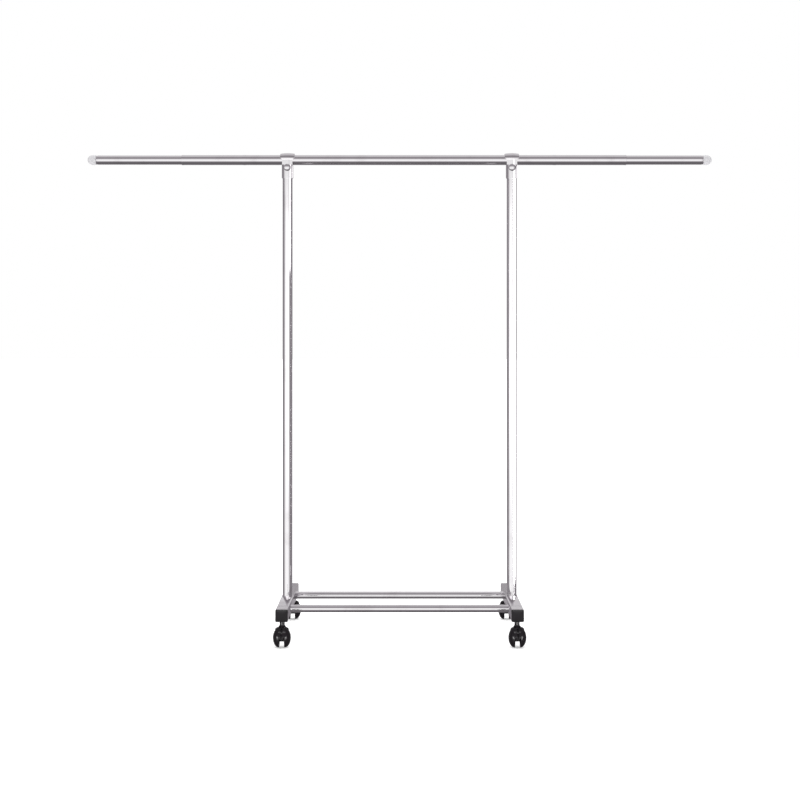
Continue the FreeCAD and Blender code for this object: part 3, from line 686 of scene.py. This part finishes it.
pointing = {
    "up": Matrix.Identity(4),
    "right": Matrix.Rotation(math.radians(90), 4, "Y"),
    "left": Matrix.Rotation(math.radians(-90), 4, "Y"),
    "back": Matrix.Rotation(math.radians(-90), 4, "X"),
    "front": Matrix.Rotation(math.radians(90), 4, "X"),
}


def placeAt(point, way="up"):
    return Matrix.Translation(Vector(point)) @ pointing[way]


def joined(shapes):
    # several shapes, each with its place, as one mesh in metres
    whole = bmesh.new()
    for bm, place in shapes:
        bm.transform(place @ Matrix.Scale(mm, 4))
        passing = bpy.data.meshes.new("passing")
        bm.to_mesh(passing)
        bm.free()
        whole.from_mesh(passing)
        bpy.data.meshes.remove(passing)
    return whole


def addPiece(name, shapes, material, body, nodes):
    bm = joined(shapes)
    mesh = bpy.data.meshes.new(name)
    bm.to_mesh(mesh)
    bm.free()
    mesh.shade_smooth()
    mesh.set_sharp_from_angle(angle=math.radians(sharpAngle))
    mesh.materials.append(material)
    piece = bpy.data.objects.new(name, mesh)
    scene.collection.objects.link(piece)
    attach(piece, body)
    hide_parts(*nodes)
    return piece


def middleOf(node):
    low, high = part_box(node)
    return (low + high) / 2


def lengthOf(node, axis):
    low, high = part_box(node)
    return (high[axis] - low[axis]) / mm


# ---- hanging rod

rodSizes = {
    "radius": 12.5,
    "wall": 0.8,
    "beadReach": 391,
    "beadHalfLength": 7,
    "beadRise": 0.3,
    "beadPoints": 12,
    "lipLength": 4,
    "lipRise": 0.2,
    "steps": 96,
}

extensionSizes = {
    "radius": 11.6,
    "wall": 0.8,
    "grooveStart": 2.2,
    "grooveShare": 0.6,
    "curlDepth": 0.9,
    "curlWall": 0.25,
    "steps": 96,
}

plugSizes = {
    "radius": 12.2,
    "spigotRadius": 10.75,
    "spigotLength": 16,
    "neck": 1,
    "collar": 11,
    "collarRise": 3,
    "clearance": 0.2,
    "lead": 1.2,
    "leadLength": 3,
    "domePoints": 14,
    "steps": 72,
}

rodCentre = middleOf("rod_main")
rodHeight = rodCentre.z


def beadPoints(centre):
    # a soft swelling, as a half wave over its length
    points = []
    count = rodSizes["beadPoints"]
    for i in range(count + 1):
        across = 2 * i / count - 1
        rise = rodSizes["beadRise"] * (1 + math.cos(math.pi * across)) / 2
        points.append((rodSizes["radius"] + rise, centre + across * rodSizes["beadHalfLength"], 0))
    return points


def makeRod():
    low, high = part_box("rod_main")
    start, end = low.x / mm, high.x / mm
    lip, radius = rodSizes["lipLength"], rodSizes["radius"]
    bore, lipRadius = radius - rodSizes["wall"], radius + rodSizes["lipRise"]
    outline = [(bore, start, 0.35), (lipRadius, start, 0.45), (lipRadius, start + lip, 0.6)]
    outline.append((radius, start + 1.5 * lip, 0))
    for side in sides.values():
        outline += beadPoints(side * rodSizes["beadReach"])
    outline += [(radius, end - 1.5 * lip, 0), (lipRadius, end - lip, 0.6)]
    outline += [(lipRadius, end, 0.45), (bore, end, 0.35)]
    shape = turnedShape(outline, rodSizes["steps"])
    place = placeAt((0, 0, rodHeight), "right")
    addPiece("rodTube", [(shape, place)], chromeX, "frame", ["rod_main"])


def extensionShape(inner, outer):
    # thin tube from inner to outer, with a groove and an inward curl at its outer end
    radius = extensionSizes["radius"]
    groove, depth = extensionSizes["grooveStart"], extensionSizes["curlDepth"]
    bore = radius - extensionSizes["wall"]
    floor = radius - depth * extensionSizes["grooveShare"]
    curl = radius - depth - extensionSizes["curlWall"]
    outline = [
        (bore, inner, 0.25),
        (radius, inner, 0.3),
        (radius, outer - groove - 1.9, 0.5),
        (floor, outer - groove - 1.0, 0.4),
        (floor, outer - groove, 0.4),
        (radius - 0.1, outer - groove + 0.9, 0.5),
        (radius - depth, outer, 0.3),
        (curl, outer - 0.2, 0),
        (curl, outer - 2 * groove - 2, 0.4),
        (bore - 0.2, outer - 2 * groove - 3, 0),
        (bore, outer - 2 * groove - 5, 0),
    ]
    return turnedShape(outline, extensionSizes["steps"])


def plugShape(length):
    # spigot with a lead, then a collar that ends in a dome
    radius = plugSizes["radius"]
    spigot = plugSizes["spigotRadius"] - plugSizes["clearance"]
    seat = plugSizes["spigotLength"] + plugSizes["neck"]
    outline = [
        (0, 0, 0),
        (spigot - plugSizes["lead"], 0, 0.4),
        (spigot, plugSizes["leadLength"], 0.4),
        (spigot, seat, 0.3),
        (radius - 0.3, seat, 0.7),
        (radius, seat + plugSizes["collarRise"], 1),
    ]
    domeFoot = seat + plugSizes["collar"] - plugSizes["collarRise"]
    outline += quarterOval(radius, length - domeFoot, domeFoot, plugSizes["domePoints"])
    return turnedShape(outline, plugSizes["steps"])


def makeExtensions():
    for sideName, side in sides.items():
        way = "right" if side > 0 else "left"
        body = f"extension_{sideName}"
        tube = f"rod_extension_{sideName}"
        low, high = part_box(tube)
        inner, outer = sorted((abs(low.x) / mm, abs(high.x) / mm))
        shapes = [(extensionShape(inner, outer), placeAt((0, 0, rodHeight), way))]
        addPiece(f"extensionTube_{sideName}", shapes, chromeX, body, [tube])

        plug = f"rod_plug_{sideName}"
        low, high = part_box(plug)
        start = low.x if side > 0 else high.x
        shapes = [(plugShape(lengthOf(plug, 0)), placeAt((start, 0, rodHeight), way))]
        addPiece(f"endPlug_{sideName}", shapes, milkyPlastic, body, [plug])


makeRod()
makeExtensions()
print("hanging rod made")

# ---- posts, feet and rails

postSizes = {
    "radius": 12.5,
    "wall": 1.0,
    "seatRadius": 12.55,
    "topCut": 5,
    "steps": 96,
}
footSizes = {"corner": 3, "cornerSteps": 6, "wall": 1.2}
capSizes = {
    "flange": 3,
    "edge": 1.7,
    "corner": 3,
    "cornerSteps": 6,
    "rim": 0.8,
    "rimSteps": 3,
    "plugInset": 1.3,
    "plugDepth": 14,
    "plugWall": 2.2,
    # how much of its size the face keeps, and how far it comes forward, step by step
    "pillow": [(0.8, 0.55), (0.72, 0.36), (0.62, 0.24), (0.45, 0.1)],
}
railSizes = {"radius": 9.5, "wall": 1.0, "rim": 0.3, "steps": 72}


def tubeShape(radius, wall, length, steps, rim):
    bore = radius - wall
    outline = [(bore, 0, rim), (radius, 0, rim), (radius, length, rim), (bore, length, rim)]
    return turnedShape(outline, steps)


def roundedEdges(bm, edges, amount, segments):
    bmesh.ops.bevel(
        bm,
        geom=edges,
        offset=amount,
        segments=segments,
        profile=0.5,
        affect="EDGES",
        material=-1,
    )


def makePosts():
    for sideName in sides:
        node = f"post_{sideName}"
        low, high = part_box(node)
        centre = (low + high) / 2
        length = (rodHeight - low.z) / mm
        shape = tubeShape(postSizes["radius"], postSizes["wall"], length, postSizes["steps"], 0)
        # the top edge follows the underside of the rod
        for vert in shape.verts:
            if vert.co.z > length / 2:
                dip = math.sqrt(max(0, postSizes["seatRadius"] ** 2 - vert.co.y ** 2))
                vert.co.z = length - max(dip, postSizes["topCut"])
        place = placeAt((centre.x, centre.y, low.z))
        addPiece(f"postTube_{sideName}", [(shape, place)], chromeZ, "frame", [node])


def boxShape(width, depth, height):
    bm = bmesh.new()
    bmesh.ops.create_cube(bm, size=1)
    bmesh.ops.scale(bm, vec=(width, depth, height), verts=bm.verts)
    return bm


def facesToward(bm, direction):
    return [face for face in bm.faces if face.normal.dot(Vector(direction)) > parallel]


def edgesAlong(bm, axis):
    found = []
    for edge in bm.edges:
        line = (edge.verts[1].co - edge.verts[0].co).normalized()
        if abs(line[axis]) > parallel:
            found.append(edge)
    return found


def makeFeet():
    for sideName in sides:
        node = f"foot_{sideName}"
        width, depth, height = (lengthOf(node, axis) for axis in range(3))
        bm = boxShape(width, depth, height)
        bm.normal_update()
        ends = facesToward(bm, (0, 1, 0)) + facesToward(bm, (0, -1, 0))
        bmesh.ops.delete(bm, geom=ends, context="FACES_ONLY")
        roundedEdges(bm, edgesAlong(bm, 1), footSizes["corner"], footSizes["cornerSteps"])
        bmesh.ops.recalc_face_normals(bm, faces=bm.faces)
        shapes = [(bm, placeAt(middleOf(node)))]
        piece = addPiece(f"footBar_{sideName}", shapes, chromeY, "frame", [node])
        wall = piece.modifiers.new("wall", "SOLIDIFY")
        wall.thickness = footSizes["wall"] * mm
        wall.offset = -1


def drawnFace(bm, face, share, push):
    # pull a face along Y while it shrinks to a share of its size
    drawn = bmesh.ops.extrude_discrete_faces(bm, faces=[face])["faces"][0]
    aboutCentre = Matrix.Translation(-drawn.calc_center_median())
    bmesh.ops.scale(bm, vec=(share, 1, share), space=aboutCentre, verts=drawn.verts)
    bmesh.ops.translate(bm, verts=drawn.verts, vec=(0, push, 0))
    return drawn


def capShape(width, height):
    # flange with a softly pillowed face towards -Y, and the hollow plug behind it
    bm = boxShape(width, capSizes["edge"], height)
    roundedEdges(bm, edgesAlong(bm, 1), capSizes["corner"], capSizes["cornerSteps"])
    bm.normal_update()
    face = facesToward(bm, (0, -1, 0))[0]
    roundedEdges(bm, list(face.edges), capSizes["rim"], capSizes["rimSteps"])
    bm.normal_update()
    face = max(facesToward(bm, (0, -1, 0)), key=lambda found: found.calc_area())
    for share, depth in capSizes["pillow"]:
        face = drawnFace(bm, face, share, -depth)
    bm.normal_update()
    back = max(facesToward(bm, (0, 1, 0)), key=lambda found: found.calc_area())
    plugShare = 1 - 2 * capSizes["plugInset"] / width
    wallShare = 1 - 2 * capSizes["plugWall"] / (width * plugShare)
    back = drawnFace(bm, back, plugShare, 0)
    back = drawnFace(bm, back, 1, capSizes["plugDepth"])
    back = drawnFace(bm, back, wallShare, 0)
    drawnFace(bm, back, 1, -capSizes["plugDepth"])
    bmesh.ops.recalc_face_normals(bm, faces=bm.faces)
    return bm


def makeFootCaps():
    for rowName, row in rows.items():
        for sideName in sides:
            node = f"foot_cap_{rowName}_{sideName}"
            low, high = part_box(node)
            outer = low.y if row < 0 else high.y
            centre = (low + high) / 2
            bm = capShape(lengthOf(node, 0), lengthOf(node, 2))
            # the flange's back face is where the foot ends
            seat = outer - row * (capSizes["flange"] - capSizes["edge"] / 2) * mm
            turn = Matrix.Identity(4) if row < 0 else Matrix.Rotation(math.pi, 4, "Z")
            place = Matrix.Translation((centre.x, seat, centre.z)) @ turn
            name = f"footCap_{rowName}_{sideName}"
            finish = plastics["capPlastic"]
            addPiece(name, [(bm, place)], finish, "frame", [node])


def makeRails():
    for rowName in rows:
        node = f"rail_{rowName}"
        low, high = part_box(node)
        centre = (low + high) / 2
        radius, wall = railSizes["radius"], railSizes["wall"]
        shape = tubeShape(radius, wall, lengthOf(node, 0), railSizes["steps"], railSizes["rim"])
        place = placeAt((low.x, centre.y, centre.z), "right")
        addPiece(f"railTube_{rowName}", [(shape, place)], chromeX, "frame", [node])


makePosts()
makeFeet()
makeFootCaps()
makeRails()
print("posts, feet and rails made")

# ---- bolts

boltSizes = {
    "saddleHead": {"radius": 9, "rise": 5.5, "rim": 0.9},
    "railHead": {"radius": 5.5, "rise": 3.3, "rim": 0.7},
    "railShank": 18,
    "shankRadius": 2.95,
    "domePoints": 12,
    "steps": 64,
}


def boltShape(head, shankLength):
    # domed head on a thin rim, with its shank below
    shank, rim = boltSizes["shankRadius"], head["rim"]
    outline = [(0, -shankLength, 0), (shank, -shankLength, 0.5), (shank, 0, 0)]
    outline += [(head["radius"], 0, 0.25)]
    outline += quarterOval(head["radius"], head["rise"] - rim, rim, boltSizes["domePoints"])
    return turnedShape(outline, boltSizes["steps"])


def addBolts(name, shapes, node):
    addPiece(name, shapes, chromeFastener, "frame", [node])


def makeSaddleBolts():
    low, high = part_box("saddle_bolts")
    head = boltSizes["saddleHead"]
    shank = (high.y - low.y) / mm - head["rise"]
    seat = low.y + head["rise"] * mm
    shapes = []
    for sideName in sides:
        centre = middleOf(f"saddle_{sideName}")
        place = placeAt((centre.x, seat, (low.z + high.z) / 2), "front")
        shapes.append((boltShape(head, shank), place))
    addBolts("saddleBolts", shapes, "saddle_bolts")


def makeRailBolts():
    low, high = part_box("rail_bolts")
    head = boltSizes["railHead"]
    shapes = []
    for side in sides.values():
        outer = low.x if side < 0 else high.x
        seat = outer - side * head["rise"] * mm
        for rowName in rows:
            centre = middleOf(f"rail_{rowName}")
            place = placeAt((seat, centre.y, centre.z), "right" if side > 0 else "left")
            shapes.append((boltShape(head, boltSizes["railShank"]), place))
    addBolts("railBolts", shapes, "rail_bolts")


makeSaddleBolts()
makeRailBolts()
print("bolts made")

# ---- casters

wheelSizes = {
    "radius": 23.6,
    "tread": 0.7,
    "bulge": 14.4,
    "bore": 3.05,
    "boreDepth": 10.6,
    "pocketInner": 8.5,
    "pocketOuter": 18,
    "pocketDepth": 5.5,
    "ringStart": 0.62,
    "ringDepth": 0.35,
    "pocketDraft": 0.3,
    "domePoints": 28,
    "steps": 96,
}


def wheelShape():
    # narrow tread by the gap, domed outer face with a fine ring, hollow inner face
    radius, bulge, tread = wheelSizes["radius"], wheelSizes["bulge"], wheelSizes["tread"]
    depth, draft = wheelSizes["pocketDepth"], wheelSizes["pocketDraft"]
    outline = [
        (0, wheelSizes["boreDepth"], 0),
        (wheelSizes["bore"], wheelSizes["boreDepth"], 0),
        (wheelSizes["bore"], 0, 0.3),
        (wheelSizes["pocketInner"], 0, 0.4),
        (wheelSizes["pocketInner"] + draft, depth, 0.6),
        (wheelSizes["pocketOuter"] - draft, depth, 0.6),
        (wheelSizes["pocketOuter"], 0, 0.4),
        (radius, 0, 0.6),
        (radius, tread, 0),
    ]
    count = wheelSizes["domePoints"]
    for i in range(1, count):
        angle = math.pi / 2 * i / count
        onRing = abs(i / count - wheelSizes["ringStart"]) < 0.5 / count
        sink = wheelSizes["ringDepth"] if onRing else 0
        across = (radius - sink) * math.cos(angle)
        outline.append((across, tread + (bulge - sink) * math.sin(angle), 0))
    outline.append((0, tread + bulge, 0))
    return turnedShape(outline, wheelSizes["steps"])


def makeWheel(name, hood):
    # the inner face is the one towards the hood
    node = f"wheel_{name}"
    low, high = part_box(node)
    centre = (low + high) / 2
    if centre.x > hood.x:
        place = placeAt((low.x, centre.y, centre.z), "right")
    else:
        place = placeAt((high.x, centre.y, centre.z), "left")
    finish = plastics["wheelPlastic"]
    addPiece(f"wheelDisc_{name}", [(wheelShape(), place)], finish, node, [node])


def makeWheels():
    for rowName in rows:
        for sideName in sides:
            hood = middleOf(f"caster_hood_{rowName}_{sideName}")
            for wheelName in ("inner", "outer"):
                makeWheel(f"{rowName}_{sideName}_{wheelName}", hood)


makeWheels()
print("casters made")

# ---- what stays as the frame's own shape gets its finish

frameFinishes = {
    "saddle_": chromeCast,
    "saddle_nuts": chromeFastener,
    "caster_hood_": plastics["casterPlastic"],
    "caster_stem_": plastics["stemCoating"],
    "caster_axle_": platedSteel,
    "caster_nuts": platedSteel,
    "stem_clips": platedSteel,
    "post_bolts": platedSteel,
    "post_inserts": platedSteel,
    "rail_inserts": platedSteel,
    "rod_glide_": plastics["bushPlastic"],
}

for nodeName, nodeObject in frame["nodes"].items():
    fitting = [start for start in frameFinishes if nodeName.startswith(start)]
    if fitting:
        for slot in nodeObject.material_slots:
            slot.material = frameFinishes[max(fitting, key=len)]
aimSoftboxes()
print("frame pieces finished")
